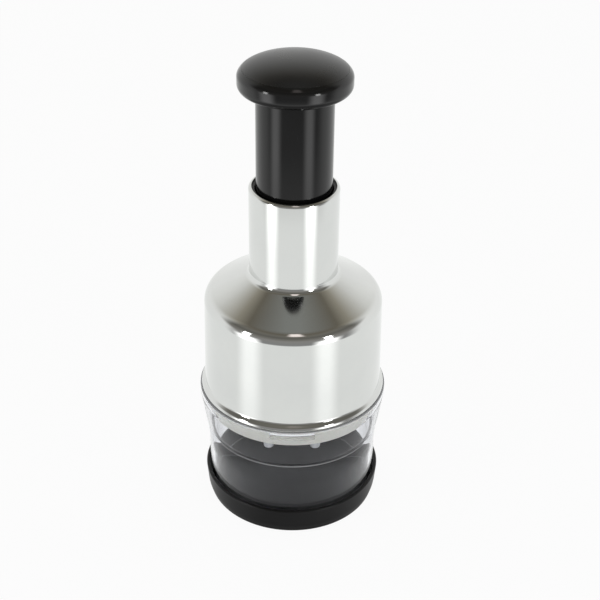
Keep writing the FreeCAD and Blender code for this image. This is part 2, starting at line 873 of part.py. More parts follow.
def make_return_spring():
    """Round wire along quarter-turn biarcs."""
    arcs = []
    steps = spring_turns * 4
    for index in range(steps):
        turn, following = index / 4, (index + 1) / 4
        arcs += biarc(spring_point(turn), spring_heading(turn),
                      spring_point(following), spring_heading(following))
    print_spring_gap(arcs)
    path = Part.Wire([arc.toShape() for arc in arcs])
    section = Part.Circle(spring_point(0), spring_heading(0), spring_wire / 2).toShape()
    sweep = Part.BRepOffsetAPI.MakePipeShell(path)
    sweep.add(Part.Wire([section]))
    sweep.build()
    sweep.makeSolid()
    return sweep.shape()


def print_spring_gap(arcs):
    """Print the least gap between neighbouring turns."""
    points = []
    samples_per_arc = 4
    for arc in arcs:
        first, last = arc.FirstParameter, arc.LastParameter
        for index in range(samples_per_arc):
            points.append(arc.value(first + (last - first) * index / samples_per_arc))
    per_turn = len(points) // spring_turns
    gaps = []
    for index, point in enumerate(points):
        for other in points[index + per_turn // 2:index + 3 * per_turn // 2]:
            gaps.append(point.distanceToPoint(other) - spring_wire)
    print("least gap between the spring's turns", round(min(gaps), 3))


def make_spring_seat(foot, bore):
    outer = min(spring_radius + spring_seat_width / 2, shaft_bore - slide_gap)
    return ring(bore, outer, foot, spring_seat_thickness)


# Plunger

def make_plunger_shaft():
    """Tube with a plug at its top that carries the rod's bush."""
    body = turned([
        (shaft_bore, shaft_foot), (shaft_radius, shaft_foot, shaft_wall / 3),
        (shaft_radius, knob_seat), (bush_radius + bush_fit, knob_seat),
        (bush_radius + bush_fit, plug_foot), (shaft_bore, plug_foot),
    ])
    return body.cut(knob_screw_holes())


def knob_screw_holes():
    hole = moved(screw_hole(knob_seat + knob_floor, knob_screw_length), knob_screw_circle, 0)
    return around(hole, screw_count, -front)


def make_knob_screws():
    one = moved(screw(knob_seat + knob_floor, knob_screw_length), knob_screw_circle, 0)
    return around(one, screw_count, -front)


def make_knob():
    """Mushroom knob, open above, with a floor that is screwed to the shaft."""
    rebate_radius = cap_radius + clip_gap
    rebate_foot = cap_rim_foot - clip_gap
    well_radius = cap_radius - cap_wall
    edge_slope = (cap_edge_height - knob_edge_height) / (knob_radius - cap_radius)
    crease_height = cap_edge_height - edge_slope * clip_gap
    body = turned([
        (knob_hole_radius, knob_seat), (shaft_radius + knob_lower_lip, knob_seat),
        (knob_radius - knob_draft, knob_seat + knob_lower_lip, knob_lower_round),
        (knob_radius, knob_edge_height, knob_edge_round),
        (rebate_radius, crease_height), (rebate_radius, rebate_foot),
        (well_radius, rebate_foot), (well_radius, knob_seat + knob_floor, cap_wall),
        (knob_hole_radius, knob_seat + knob_floor),
    ])
    return body.cut(knob_screw_holes())


def make_palm_cap():
    """Domed cap that closes the knob."""
    rise = knob_top - cap_edge_height
    dome = (cap_radius ** 2 + rise ** 2) / (2 * rise)
    centre = knob_top - dome
    spigot_outer = cap_radius - cap_wall - clip_gap
    spigot_inner = spigot_outer - cap_spigot_wall
    spigot_foot = cap_rim_foot - cap_spigot

    def on_dome(lowered, radius):
        return Vector(radius, 0, centre + math.sqrt((dome - lowered) ** 2 - radius ** 2))

    outer_arc = Part.Arc(on_dome(0, 0), on_dome(0, cap_radius / 2), on_dome(0, cap_radius))
    inner_end = on_dome(cap_wall, spigot_inner)
    inner_arc = Part.Arc(inner_end, on_dome(cap_wall, spigot_inner / 2), on_dome(cap_wall, 0))
    corners = [
        on_dome(0, cap_radius), Vector(cap_radius, 0, cap_rim_foot),
        Vector(spigot_outer, 0, cap_rim_foot), Vector(spigot_outer, 0, spigot_foot),
        Vector(spigot_inner, 0, spigot_foot), inner_end,
    ]
    side = Part.makePolygon(corners)
    middle = Part.makePolygon([on_dome(cap_wall, 0), on_dome(0, 0)])
    outline = Part.Wire([outer_arc.toShape(), *side.Edges, inner_arc.toShape(), *middle.Edges])
    return Part.Face(outline).revolve(Vector(), Vector(0, 0, 1), 360)


write("base_cup", [make_base_cup()])
write("clear_cup", [make_clear_cup()])
write("collar", [make_collar()])
write("scraper_snap_ring", [make_snap_ring()])
write("steel_shell", [make_steel_shell()])
write("housing_core", [make_housing_core()])
write("mouth_ring", [make_mouth_ring()])
write("drive_nut", [make_drive_nut()])
write("pawl_ring", [make_pawl_ring()])
write("nut_retainer", [make_nut_retainer()])
write("retainer_screws", make_retainer_screws())
write("lower_spring_seat", [make_spring_seat(boss_top, guide_radius + clip_gap)])
write("return_spring", [make_return_spring()])
write("scraper", [make_scraper()])
write("zigzag_blade", [make_zigzag_blade()])
write("blade_pins", make_blade_pins())
write("blade_carrier", [make_blade_carrier()])
write("carrier_cover", [make_carrier_cover()])
write("carrier_screws", make_carrier_screws())
write("spiral_rod", [make_spiral_rod()])
write("rod_washers", make_rod_washers())
write("rod_circlip", [make_rod_circlip()])
write("plunger_shaft", [make_plunger_shaft()])
write("rod_bush", [ring(bush_bore, bush_radius, plug_foot, shaft_plug)])
write("upper_spring_seat", [make_spring_seat(upper_seat_foot, washer_radius + slide_gap)])
write("knob", [make_knob()])
write("knob_screws", make_knob_screws())
write("palm_cap", [make_palm_cap()])
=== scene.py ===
"""Looks of the plunger food chopper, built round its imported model.

Sizes are written in millimetres, as the chopper's drawing has them, and turned into metres
where a mesh is made. +Z runs up the plunger's axis, and the chopper stands on z = 0.
"""
import json
import math

import bmesh
import bpy
from mathutils import Matrix, Vector


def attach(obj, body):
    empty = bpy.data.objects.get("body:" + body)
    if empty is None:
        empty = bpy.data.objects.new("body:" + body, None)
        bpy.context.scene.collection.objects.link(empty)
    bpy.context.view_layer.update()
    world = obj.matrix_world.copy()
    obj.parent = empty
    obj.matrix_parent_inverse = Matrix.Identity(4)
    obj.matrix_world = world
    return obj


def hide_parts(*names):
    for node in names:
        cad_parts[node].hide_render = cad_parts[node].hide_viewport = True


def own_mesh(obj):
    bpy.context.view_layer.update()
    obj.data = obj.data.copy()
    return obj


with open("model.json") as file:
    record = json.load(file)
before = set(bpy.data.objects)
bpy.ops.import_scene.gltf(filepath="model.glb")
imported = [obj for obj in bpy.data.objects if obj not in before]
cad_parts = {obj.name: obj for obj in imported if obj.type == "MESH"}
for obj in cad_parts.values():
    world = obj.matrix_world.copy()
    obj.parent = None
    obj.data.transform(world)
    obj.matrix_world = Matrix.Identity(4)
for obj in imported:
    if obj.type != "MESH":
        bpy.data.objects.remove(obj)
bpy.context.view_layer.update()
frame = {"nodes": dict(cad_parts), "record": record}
nodes = frame["nodes"]

MM = 0.001
SEGMENTS = 192        # faces round a turned piece
ARC_STEP = 7.5        # degrees between the points of a rounded corner
SMOOTH_ANGLE = 32.0   # edges sharper than this stay crisp

# Clearances
seat_gap = 0.3
slide_gap = 0.35
cup_fit = 0.25
clip_gap = 0.15
root_depth = 0.5

# Roundings that several pieces share
edge_round = 0.3
lip_round = 0.7

# Base cup
groove_floor = 3.0
board_top = 4.0
base_height = 14.0
base_taper = 2.3
base_wall = 1.85
base_bulge = 0.65

# Clear cup
chamber_radius = 38.6
cup_radius = 40.7
cup_foot = groove_floor + seat_gap
ledge_height = 41.0
waist_height = 33.7
bell_height = 58.4
cup_top = 62.2
lip_radius = 44.5
bell_wall = 1.6
waist_round = 60.0
bell_round = 12.0

# Bayonet and collar
lug_count = 3
lug_angle = 28.0
front_angle = -90.0   # where the first lug's middle stands
lug_height = 1.9
collar_lug_reach = 1.2
collar_foot = 55.0
collar_skirt = 1.9
collar_radius = 40.8
collar_bore = 39.2
spigot_bore = 37.9
spigot_radius = 39.35
spigot_length = 12.3
scraper_top = 59.8

# Steel shell
sheet = 0.8
hem_foot = 62.5
hem_top = 63.9
hem_radius = 43.9
hem_round = 0.36
hem_lean = 0.35
flare_height = 1.6
flare_round = 1.5
body_radius_foot = 42.1
body_radius_top = 41.4
shoulder_foot = 111.4
neck_foot = 122.3
neck_radius = 20.45
neck_top = 165.8
mouth_radius = 19.05
mouth_round = 1.35
mouth_ring_depth = 4.0
neck_fillet = 3.2
shoulder_round = 6.5

# Plunger and knob
shaft_radius = 17.1
shaft_bore = 15.2
shaft_foot = 154.3
plug_foot = 204.5
bush_hole = 5.7
knob_seat = 210.0
knob_radius = 24.95
knob_widest = 216.9
knob_top = 225.7
knob_lower_round = 3.5
knob_lip = 0.9
cap_radius = 22.8
cap_rim_foot = 219.7
cap_wall = 2.0
cap_seam = 0.05
cap_spigot_wall = 1.6
cap_spigot_depth = 2.0
knob_floor = 3.0
knob_hole_radius = 8.0

# Honed edge of the blades, which fades out between these heights
honed_foot = 48.6
honed_head = 49.2

# Return spring
spring_wire = 1.6
spring_radius = 11.5
spring_turns = 8
spring_foot = 116.5
spring_head = 203.5
closed_pitch = 2.15

shoulder_slope = math.atan2(neck_foot - shoulder_foot, body_radius_top - neck_radius)
flare_slope = math.atan2(flare_height, hem_radius - body_radius_foot)
bell_slope = (lip_radius - cup_radius) / (bell_height - waist_height)


# Meshes

def arc_points(before, corner, after, rounding):
    """Points along the arc that rounds a corner."""
    incoming = (before - corner).normalized()
    outgoing = (after - corner).normalized()
    half_angle = incoming.angle(outgoing) / 2
    centre = corner + (incoming + outgoing).normalized() * (rounding / math.sin(half_angle))
    start = corner + incoming * (rounding / math.tan(half_angle)) - centre
    end = corner + outgoing * (rounding / math.tan(half_angle)) - centre
    sweep = start.angle_signed(end)
    steps = max(3, math.ceil(math.degrees(abs(sweep)) / ARC_STEP))
    points = []
    for index in range(steps + 1):
        turn = Matrix.Rotation(-sweep * index / steps, 2)
        points.append(centre + turn @ start)
    return points


def outline(corners):
    """Closed profile from (radius, height) or (radius, height, rounding) corners.

    Straight runs get a point close to each end, so that smooth shading stays true on them.
    """
    support = 0.12
    places = [Vector(corner[:2]) for corner in corners]
    runs = []
    for index, corner in enumerate(corners):
        rounding = corner[2] if len(corner) > 2 else 0.0
        before, after = places[index - 1], places[(index + 1) % len(places)]
        if rounding > 0:
            runs.append(arc_points(before, places[index], after, rounding))
        else:
            runs.append([places[index]])
    points = []
    for index, run in enumerate(runs):
        points += run
        end, start = run[-1], runs[(index + 1) % len(runs)][0]
        length = (start - end).length
        if length > 5 * support:
            step = (start - end) * (support / length)
            points += [end + step, start - step]
    return points


def turned_mesh(points, start_angle=0.0, sweep=360.0):
    """Closed bmesh of revolution from profile points in millimetres."""
    full = sweep >= 360.0
    count = SEGMENTS if full else max(4, round(SEGMENTS * sweep / 360.0))
    bm = bmesh.new()
    rings = []
    for index in range(count if full else count + 1):
        angle = math.radians(start_angle + sweep * index / count)
        ring = []
        for radius, height in points:
            place = Vector((radius * math.cos(angle), radius * math.sin(angle), height)) * MM
            ring.append(bm.verts.new(place))
        rings.append(ring)
    total = len(points)
    for index in range(count):
        ring, following = rings[index], rings[(index + 1) % len(rings)]
        for row in range(total):
            after = (row + 1) % total
            bm.faces.new([ring[row], following[row], following[after], ring[after]])
    if not full:
        bm.faces.new(rings[0])
        bm.faces.new(list(reversed(rings[-1])))
    bmesh.ops.remove_doubles(bm, verts=bm.verts, dist=1e-7)
    bmesh.ops.recalc_face_normals(bm, faces=bm.faces)
    return bm


def dress(mesh, slot):
    """Gives a mesh its slot's material, with smooth faces and crisp edges."""
    mesh.materials.clear()
    mesh.materials.append(materials[slot])
    mesh.polygons.foreach_set("use_smooth", [True] * len(mesh.polygons))
    mesh.set_sharp_from_angle(angle=math.radians(SMOOTH_ANGLE))


def piece(name, bm, body, slot, *stood_for):
    """Object from a bmesh that rides on a body and stands for CAD nodes."""
    mesh = bpy.data.meshes.new(name)
    bm.to_mesh(mesh)
    bm.free()
    dress(mesh, slot)
    made = bpy.data.objects.new(name, mesh)
    bpy.context.scene.collection.objects.link(made)
    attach(made, body)
    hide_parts(*stood_for)
    return made


def union(bm, parts):
    """The bmesh with the other bmeshes joined to it as one closed surface."""
    holder = bpy.data.objects.new("holder", bpy.data.meshes.new("holder"))
    bm.to_mesh(holder.data)
    bm.free()
    bpy.context.scene.collection.objects.link(holder)
    tools = []
    for part in parts:
        tool = bpy.data.objects.new("tool", bpy.data.meshes.new("tool"))
        part.to_mesh(tool.data)
        part.free()
        bpy.context.scene.collection.objects.link(tool)
        joining = holder.modifiers.new("join", "BOOLEAN")
        joining.operation = "UNION"
        joining.solver = "EXACT"
        joining.object = tool
        tools.append(tool)
    depsgraph = bpy.context.evaluated_depsgraph_get()
    joined = bmesh.new()
    joined.from_mesh(holder.evaluated_get(depsgraph).to_mesh())
    for leftover in [holder, *tools]:
        bpy.data.objects.remove(leftover)
    return joined


# Material building blocks

def fill_ramp(elements, stops):
    """Sets a new colour ramp to (position, colour) stops in rising order."""
    elements[0].position = stops[0][0]
    elements[-1].position = stops[-1][0]
    for position, _ in stops[1:-1]:
        elements.new(position)
    for element, (_, colour) in zip(elements, stops):
        element.color = (*colour, 1.0)


class Nodes:
    """The node tree of a material or world, with short ways to add and link nodes."""

    def __init__(self, owner):
        owner.use_nodes = True
        self.owner = owner
        self.tree = owner.node_tree

    def add(self, kind, settings=None, inputs=None):
        node = self.tree.nodes.new(kind)
        for key, value in (settings or {}).items():
            setattr(node, key, value)
        for key, value in (inputs or {}).items():
            if isinstance(value, bpy.types.NodeSocket):
                self.tree.links.new(value, node.inputs[key])
            else:
                node.inputs[key].default_value = value
        return node

    def set(self, **values):
        """Constants and links on the shader's own sockets, with _ for a space."""
        shader = self.tree.nodes["Principled BSDF"]
        for key, value in values.items():
            socket = shader.inputs[key.replace("_", " ")]
            if isinstance(value, bpy.types.NodeSocket):
                self.tree.links.new(value, socket)
            else:
                socket.default_value = value

    def place(self):
        """The surface point in the chopper's own frame."""
        return self.add("ShaderNodeTexCoord").outputs["Object"]

    def noise(self, vector, scale, detail=3.0, roughness=0.55):
        node = self.add("ShaderNodeTexNoise", inputs={
            "Vector": vector, "Scale": scale, "Detail": detail, "Roughness": roughness})
        return node.outputs["Fac"]

    def ranged(self, value, low, high, from_low=0.0, from_high=1.0):
        node = self.add("ShaderNodeMapRange", inputs={
            "Value": value, "From Min": from_low, "From Max": from_high,
            "To Min": low, "To Max": high})
        return node.outputs["Result"]

    def math(self, operation, first, second=0.0):
        node = self.add("ShaderNodeMath", {"operation": operation}, {0: first, 1: second})
        return node.outputs[0]

    def smooth(self, value, low, high):
        """0 below the low value and 1 above the high one, with a soft step between."""
        node = self.add("ShaderNodeMapRange", {"interpolation_type": "SMOOTHSTEP"}, {
            "Value": value, "From Min": low, "From Max": high})
        return node.outputs["Result"]

    def mix(self, share, first, second, blend="MIX"):
        """Two colours mixed by a share."""
        node = self.add("ShaderNodeMix", {"data_type": "RGBA", "blend_type": blend})
        for socket, value in zip((node.inputs[0], node.inputs[6], node.inputs[7]),
                                 (share, first, second)):
            if isinstance(value, bpy.types.NodeSocket):
                self.tree.links.new(value, socket)
            else:
                socket.default_value = value
        return node.outputs[2]

    def ramp(self, value, stops):
        node = self.add("ShaderNodeValToRGB", inputs={"Fac": value})
        fill_ramp(node.color_ramp.elements, stops)
        return node.outputs["Color"]

    def bump(self, height, depth, before=None):
        """Bump of a real depth in millimetres, on top of an earlier one."""
        inputs = {"Height": height, "Strength": 1.0, "Distance": depth * MM}
        if before is not None:
            inputs["Normal"] = before
        return self.add("ShaderNodeBump", inputs=inputs).outputs["Normal"]

    def turned_place(self, along, across):
        """Coordinates that follow a turned piece: slow round the axis, fast along its profile."""
        parts = self.add("ShaderNodeSeparateXYZ", inputs={"Vector": self.place()})
        x, y, z = parts.outputs
        radius = self.math("SQRT", self.math("ADD", self.math("POWER", x, 2.0),
                                             self.math("POWER", y, 2.0)))
        joined = self.add("ShaderNodeCombineXYZ", inputs={
            "X": self.math("MULTIPLY", x, along), "Y": self.math("MULTIPLY", y, along),
            "Z": self.math("MULTIPLY", self.math("ADD", z, radius), across)})
        return joined.outputs["Vector"]


def steel_polished():
    """Drawn and polished sheet: mirror-like, with faint turning lines and a soft waviness."""
    n = Nodes(bpy.data.materials.new("polished_steel"))
    lines = n.noise(n.turned_place(4.0, 2600.0), 1.0, detail=4.0, roughness=0.7)
    waves = n.noise(n.turned_place(22.0, 40.0), 1.0, detail=1.0, roughness=0.4)
    smears = n.noise(n.place(), 60.0, detail=4.0)
    normal = n.bump(waves, 0.03)
    normal = n.bump(lines, 0.0006, normal)
    n.set(Base_Color=n.ramp(smears, [(0.3, (0.65, 0.66, 0.65)), (0.7, (0.68, 0.69, 0.675))]),
          Metallic=1.0, Roughness=n.ranged(smears, 0.045, 0.09, 0.3, 0.7), Normal=normal)
    return n.owner


def plastic_black(name, gloss, specular, grain, base):
    """Moulded black plastic: fine orange peel, faint rub marks and uneven gloss."""
    n = Nodes(bpy.data.materials.new(name))
    place = n.place()
    peel = n.noise(place, 900.0, detail=2.0)
    rubbed = n.noise(n.turned_place(10.0, 700.0), 1.0, detail=5.0, roughness=0.65)
    patches = n.noise(place, 45.0)
    normal = n.bump(peel, grain)
    normal = n.bump(rubbed, grain * 0.4, normal)
    n.set(Base_Color=n.ramp(patches, [(0.3, (base, base, base * 1.02)),
                                      (0.75, (base * 1.5, base * 1.5, base * 1.55))]),
          Roughness=n.ranged(patches, gloss, gloss + 0.06, 0.3, 0.7), Normal=normal,
          Specular_IOR_Level=specular)
    return n.owner


def plastic_clear():
    """Clear moulded plastic with hairline scratches, a faint cool tint, and painted highlight bands
    at the lip and the ledge.
    """
    n = Nodes(bpy.data.materials.new("clear_plastic"))
    place = n.place()
    haze = n.noise(place, 35.0, detail=5.0)
    hair = n.noise(n.turned_place(60.0, 900.0), 1.0, detail=6.0, roughness=0.8)
    hair = n.smooth(hair, 0.72, 0.78)
    rough = n.math("ADD", n.ranged(haze, 0.0, 0.012, 0.35, 0.75), n.math("MULTIPLY", hair, 0.08))
    height = n.add("ShaderNodeSeparateXYZ", inputs={"Vector": place}).outputs["Z"]
    # Painted highlight: thin bands at the lip and at the ledge let less light through, so the
    # near-white base colour shows there as bright lines.
    lip = n.smooth(height, (cup_top - 1.0) * MM, (cup_top - 0.5) * MM)
    above = n.smooth(height, (ledge_height - 0.75) * MM, (ledge_height - 0.45) * MM)
    below = n.smooth(height, ledge_height * MM, (ledge_height - 0.1) * MM)
    painted_highlight = n.math("MULTIPLY", n.math("ADD", lip, n.math("MULTIPLY", above, below)), 0.35)
    clear = n.math("SUBTRACT", 1.0, painted_highlight)
    normal = n.bump(n.noise(place, 60.0, detail=1.0), 0.0008)
    n.set(Base_Color=(0.955, 0.965, 0.985, 1.0), Transmission_Weight=clear, Roughness=rough,
          Normal=normal, IOR=1.5, Specular_Tint=(0.35, 0.35, 0.37, 1.0))
    return n.owner


def plastic_pale(name, dark, light, gloss):
    """Pale moulded plastic with a soft mottle."""
    n = Nodes(bpy.data.materials.new(name))
    place = n.place()
    mottle = n.noise(place, 120.0, detail=4.0)
    normal = n.bump(n.noise(place, 1200.0, detail=2.0), 0.006)
    n.set(Base_Color=n.ramp(mottle, [(0.3, dark), (0.7, light)]),
          Roughness=n.ranged(mottle, gloss, gloss + 0.1, 0.3, 0.7), Normal=normal,
          Subsurface_Weight=0.05)
    return n.owner


def metal(name, dark, light, rough):
    """Machined or ground metal with lines round the axis and small stains."""
    n = Nodes(bpy.data.materials.new(name))
    lines = n.noise(n.turned_place(8.0, 1800.0), 1.0, detail=4.0, roughness=0.7)
    stains = n.noise(n.place(), 140.0, detail=4.0)
    normal = n.bump(lines, 0.006)
    n.set(Base_Color=n.ramp(stains, [(0.3, dark), (0.72, light)]), Metallic=1.0,
          Roughness=n.ranged(lines, rough, rough + 0.14, 0.3, 0.7), Normal=normal)
    return n.owner


def blade_steel():
    """Ground strip: upright grinding lines and a brighter honed edge."""
    n = Nodes(bpy.data.materials.new("blade_steel"))
    place = n.place()
    stretched = n.add("ShaderNodeMapping", inputs={
        "Vector": place, "Scale": (2600.0, 2600.0, 30.0)}).outputs["Vector"]
    lines = n.noise(stretched, 1.0, roughness=0.7)
    height = n.add("ShaderNodeSeparateXYZ", inputs={"Vector": place}).outputs["Z"]
    honed = n.ranged(height, 1.0, 0.0, honed_foot * MM, honed_head * MM)
    shade = n.ramp(n.math("ADD", n.math("MULTIPLY", lines, 0.5), n.math("MULTIPLY", honed, 0.5)), [
        (0.15, (0.5, 0.5, 0.51)), (0.9, (0.74, 0.75, 0.76))])
    n.set(Base_Color=shade, Metallic=1.0, Roughness=n.ranged(lines, 0.26, 0.44, 0.3, 0.7),
          Normal=n.bump(lines, 0.003))
    return n.owner


cream = ((0.80, 0.78, 0.70), (0.86, 0.84, 0.77))
white = ((0.70, 0.70, 0.67), (0.78, 0.78, 0.75))
materials = {
    "polished_steel": steel_polished(),
    "black_shaft": plastic_black("black_shaft", 0.09, 0.34, 0.0006, 0.005),
    "black_knob": plastic_black("black_knob", 0.08, 0.44, 0.0006, 0.005),
    "satin_cap": plastic_black("satin_cap", 0.26, 0.5, 0.004, 0.009),
    "black_base": plastic_black("black_base", 0.30, 0.24, 0.0015, 0.007),
    "black_ring": plastic_black("black_ring", 0.35, 0.3, 0.008, 0.006),
    "dark_plastic": plastic_black("dark_plastic", 0.42, 0.4, 0.012, 0.02),
    "clear_plastic": plastic_clear(),
    "cream_plastic": plastic_pale("cream_plastic", *cream, 0.32),
    "white_plastic": plastic_pale("white_plastic", *white, 0.35),
    "slide_plastic": plastic_pale("slide_plastic", *white, 0.28),
    "plate_steel": metal("plate_steel", (0.42, 0.42, 0.42), (0.6, 0.6, 0.6), 0.25),
    "screw_steel": metal("screw_steel", (0.4, 0.4, 0.41), (0.6, 0.6, 0.61), 0.22),
    "spring_steel": metal("spring_steel", (0.36, 0.36, 0.38), (0.55, 0.55, 0.57), 0.2),
    "rod_steel": metal("rod_steel", (0.45, 0.45, 0.46), (0.65, 0.65, 0.66), 0.2),
    "bush_brass": metal("bush_brass", (0.6, 0.44, 0.18), (0.78, 0.6, 0.3), 0.2),
    "blade_steel": blade_steel(),
}


# Turned pieces

def shell_corners(inset):
    """Neck, shoulder, body and hem corners of a surface inside the shell's outer face."""
    drop = inset * (1 - math.sin(shoulder_slope)) / math.cos(shoulder_slope)
    flare_drop = inset * (1 - math.sin(flare_slope)) / math.cos(flare_slope)
    return [
        (neck_radius - inset, neck_foot - drop, neck_fillet + inset),
        (body_radius_top - inset, shoulder_foot - drop, shoulder_round - inset),
        (body_radius_foot - inset, hem_top + flare_height - flare_drop, flare_round + inset),
        (hem_radius - hem_lean - inset, hem_top - flare_drop, flare_round - inset),
    ]


def make_shell():
    inner = shell_corners(sheet)
    inner.reverse()
    profile = outline([
        (mouth_radius, neck_top), (neck_radius, neck_top, mouth_round), *shell_corners(0.0),
        (hem_radius, hem_foot, hem_round), (hem_radius - sheet, hem_foot, hem_round), *inner,
        (neck_radius - sheet, neck_top - sheet, mouth_round - sheet),
        (mouth_radius, neck_top - sheet),
    ])
    piece("shell_drawn", turned_mesh(profile), "housing", "polished_steel", "steel_shell")


def make_mouth_ring():
    outer = neck_radius - sheet - clip_gap
    bore = shaft_radius + slide_gap
    top = neck_top - sheet - clip_gap
    profile = outline([
        (bore, top - mouth_ring_depth), (outer, top - mouth_ring_depth),
        (outer, top, mouth_round / 2),
        (bore, top, mouth_round / 3),
    ])
    piece("neck_ring", turned_mesh(profile), "housing", "black_ring", "mouth_ring")


def bell_bore(height):
    """Inner radius of the bell's slope at a height."""
    outer = cup_radius + bell_slope * (height - waist_height)
    return outer - bell_wall * math.hypot(1, bell_slope)


def lug_sectors(corners):
    """The bayonet's lugs as separate closed sectors."""
    lugs = []
    for index in range(lug_count):
        angle = front_angle + 360.0 * index / lug_count - lug_angle / 2
        lugs.append(turned_mesh(outline(corners), angle, lug_angle))
    return lugs


def make_clear_cup():
    profile = outline([
        (chamber_radius, cup_foot), (cup_radius, cup_foot, lip_round),
        (cup_radius, waist_height, waist_round), (lip_radius, bell_height, bell_round),
        (lip_radius, cup_top, lip_round), (lip_radius - bell_wall, cup_top, lip_round),
        (lip_radius - bell_wall, bell_height, bell_round),
        (bell_bore(ledge_height), ledge_height), (chamber_radius, ledge_height, lip_round),
    ])
    lug_foot = collar_foot + 2 * seat_gap + lug_height
    inner = collar_radius + slide_gap
    lugs = lug_sectors([
        (inner, lug_foot, 0.2), (bell_bore(lug_foot) + bell_wall / 2, lug_foot),
        (lip_radius - bell_wall / 2, lug_foot + lug_height),
        (inner, lug_foot + lug_height, 0.2),
    ])
    piece("cup_wall", union(turned_mesh(profile), lugs), "food_cup", "clear_plastic", "clear_cup")


def make_collar():
    flange_foot = hem_foot + seat_gap
    flange_top = shell_corners(sheet + clip_gap)[-1][1]
    spigot_top = hem_top + spigot_length
    flange_radius = hem_radius - sheet - clip_gap
    profile = outline([
        (collar_bore, collar_foot - collar_skirt, edge_round),
        (collar_radius, collar_foot - collar_skirt, 0.4),
        (collar_radius, flange_foot, edge_round), (flange_radius, flange_foot, edge_round),
        (flange_radius, flange_top, edge_round), (spigot_radius, flange_top),
        (spigot_radius, spigot_top, edge_round), (spigot_bore, spigot_top, edge_round),
        (spigot_bore, scraper_top + seat_gap), (collar_bore, scraper_top + seat_gap),
    ])
    lug_foot = collar_foot + seat_gap
    inner, outer = collar_radius - root_depth, collar_radius + collar_lug_reach
    lugs = lug_sectors([
        (inner, lug_foot), (outer, lug_foot, 0.25), (outer, lug_foot + lug_height, 0.25),
        (inner, lug_foot + lug_height),
    ])
    piece("collar_ring", union(turned_mesh(profile), lugs), "housing", "cream_plastic", "collar")


def make_base():
    bore = cup_radius + cup_fit
    outer = bore + base_wall
    foot = outer - base_taper
    side_height = base_height / 3
    side = foot + base_taper * side_height / base_height + base_bulge
    board = chamber_radius - slide_gap
    profile = outline([
        (0.0, 0.0), (foot, 0.0, 1.6), (side, side_height, 14.0), (outer, base_height, 0.8),
        (bore, base_height, 0.4), (bore, groove_floor, edge_round),
        (board, groove_floor, edge_round),
        (board, board_top, 0.33), (0.0, board_top),
    ])
    piece("base_dish", turned_mesh(profile), "base", "black_base", "base_cup")


def make_shaft():
    profile = outline([
        (shaft_bore, shaft_foot, 0.2), (shaft_radius, shaft_foot, 0.63),
        (shaft_radius, knob_seat), (bush_hole, knob_seat), (bush_hole, plug_foot),
        (shaft_bore, plug_foot),
    ])
    piece("shaft_tube", turned_mesh(profile), "plunger", "black_shaft", "plunger_shaft")


def pillow(start, end, steps, inset=0.0):
    """Points of the oval that the cap and the knob's edge share, between two radii."""
    points = []
    for index in range(steps + 1):
        radius = start + (end - start) * index / steps
        share = radius / (knob_radius - inset)
        height = (knob_top - knob_widest - inset) * math.sqrt(max(0.0, 1 - share ** 2))
        points.append(Vector((radius, knob_widest + height)))
    return points


def make_knob():
    rebate = cap_radius + cap_seam
    rebate_foot = cap_rim_foot - clip_gap
    well = cap_radius - cap_wall
    seat = Vector((shaft_radius, knob_seat))
    corner = Vector((knob_radius, knob_seat + knob_lip))
    under = arc_points(seat, corner, corner + Vector((0, 1)), knob_lower_round)
    edge = [point for point in pillow(knob_radius, rebate, 28) if point.y > under[-1].y]
    profile = [
        Vector((knob_hole_radius, knob_seat)), seat, *under, *edge,
        Vector((rebate, rebate_foot)), Vector((well, rebate_foot)),
        Vector((well, knob_seat + knob_floor)), Vector((knob_hole_radius, knob_seat + knob_floor)),
    ]
    piece("knob_bowl", turned_mesh(profile), "plunger", "black_knob", "knob")


def make_cap():
    spigot = cap_radius - cap_wall - clip_gap
    spigot_inner = spigot - cap_spigot_wall
    spigot_foot = cap_rim_foot - cap_spigot_depth
    over = pillow(cap_radius, 0.0, 40)
    under = pillow(0.0, spigot_inner, 24, cap_wall)
    rim = [Vector((spigot_inner, spigot_foot)), Vector((spigot, spigot_foot)),
           Vector((spigot, cap_rim_foot)), Vector((cap_radius, cap_rim_foot))]
    piece("cap_dome", turned_mesh(over + under + rim), "plunger", "satin_cap", "palm_cap")


# Return spring

def spring_point(turn):
    """Middle of the wire after a number of turns, with one closed turn at each end."""
    low = spring_foot + spring_wire / 2
    high = spring_head - spring_wire / 2
    if turn <= 1:
        height = low + turn * closed_pitch
    elif turn >= spring_turns - 1:
        height = high - (spring_turns - turn) * closed_pitch
    else:
        share = (turn - 1) / (spring_turns - 2)
        height = low + closed_pitch + share * (high - low - 2 * closed_pitch)
    angle = 2 * math.pi * turn
    return Vector((spring_radius * math.cos(angle), spring_radius * math.sin(angle), height))


def make_spring():
    """Round wire swept along a fixed helix; the real spring shortens as the plunger goes down."""
    per_turn, sides = 48, 12
    bm = bmesh.new()
    rings = []
    for index in range(spring_turns * per_turn + 1):
        turn = index / per_turn
        centre = spring_point(turn)
        outward = Vector((centre.x, centre.y, 0)).normalized()
        step = 1 / per_turn
        before, after = max(0, turn - step), min(spring_turns, turn + step)
        heading = (spring_point(after) - spring_point(before)).normalized()
        upward = outward.cross(heading).normalized()
        ring = []
        for side in range(sides):
            angle = 2 * math.pi * side / sides
            offset = outward * math.cos(angle) + upward * math.sin(angle)
            ring.append(bm.verts.new((centre + offset * spring_wire / 2) * MM))
        rings.append(ring)
    for ring, following in zip(rings[:-1], rings[1:]):
        for side in range(sides):
            after = (side + 1) % sides
            bm.faces.new([ring[side], ring[after], following[after], following[side]])
    bm.faces.new(rings[0])
    bm.faces.new(rings[-1])
    bmesh.ops.recalc_face_normals(bm, faces=bm.faces)
    spring = piece("spring_coil", bm, "housing", "spring_steel", "return_spring")
    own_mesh(spring)


make_shell()
make_mouth_ring()
make_clear_cup()
make_collar()
make_base()
make_shaft()
make_knob()
make_cap()
make_spring()

